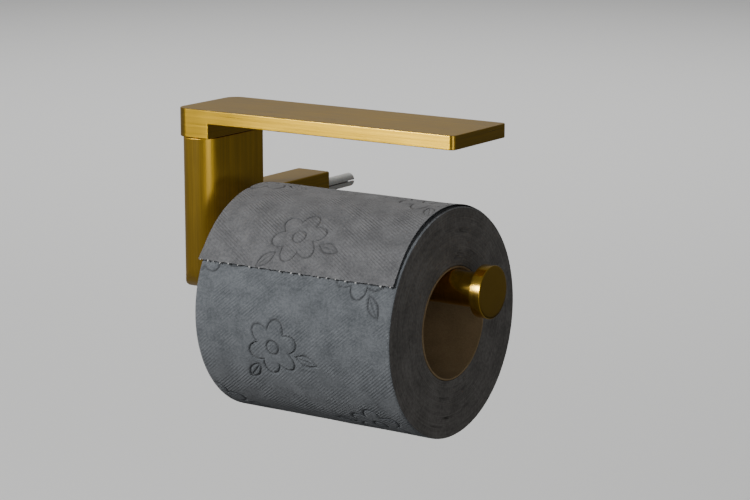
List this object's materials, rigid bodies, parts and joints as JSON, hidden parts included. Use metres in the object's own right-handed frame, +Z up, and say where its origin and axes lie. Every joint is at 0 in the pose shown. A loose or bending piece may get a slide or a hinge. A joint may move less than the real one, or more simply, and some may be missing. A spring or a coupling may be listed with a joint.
{
  "type": "toilet paper holder",
  "caption": "Wall-mounted brass toilet paper holder: one-armed round rod with an end disc, a side plate, a hidden wall post and a flat shelf above the paper roll.",
  "frame": {"origin": "centre of the wall bracket's back face, on the wall", "axes": "+X right along the wall and along the rod, +Y into the wall, +Z up"},
  "size_m": [0.1496, 0.1497, 0.1324],
  "materials": {
    "brushed_brass": "satin brass, brushed along each piece's length",
    "plain_steel": "plain zinc-plated steel",
    "plug_nylon": "moulded light grey nylon",
    "grey_paper": "soft dark grey tissue with fine embossed lines",
    "core_card": "plain brown wound card"
  },
  "bodies": {
    "holder": {"shelf": "brushed_brass", "side_plate": "brushed_brass", "rod": "brushed_brass", "end_knob": "brushed_brass", "wall_post": "brushed_brass", "wall_bracket": "plain_steel", "wall_screw_upper": "plain_steel", "wall_screw_lower": "plain_steel", "wall_plug_upper": "plug_nylon", "wall_plug_lower": "plug_nylon", "post_grub": "plain_steel", "plate_screw_upper": "plain_steel", "plate_screw_lower": "plain_steel", "shelf_dowel_front": "plain_steel", "shelf_dowel_back": "plain_steel", "rod_stud": "plain_steel", "knob_stud": "plain_steel"},
    "roll": {"paper_roll": "grey_paper", "paper_core": "core_card", "loose_sheet": "grey_paper"}
  },
  "joints": [
    {"name": "roll_spin", "type": "hinge", "parent": "holder", "child": "roll", "pos_m": [0.07215, -0.0705, -0.0287], "axis": [1, 0, 0], "continuous": true}
  ]
}
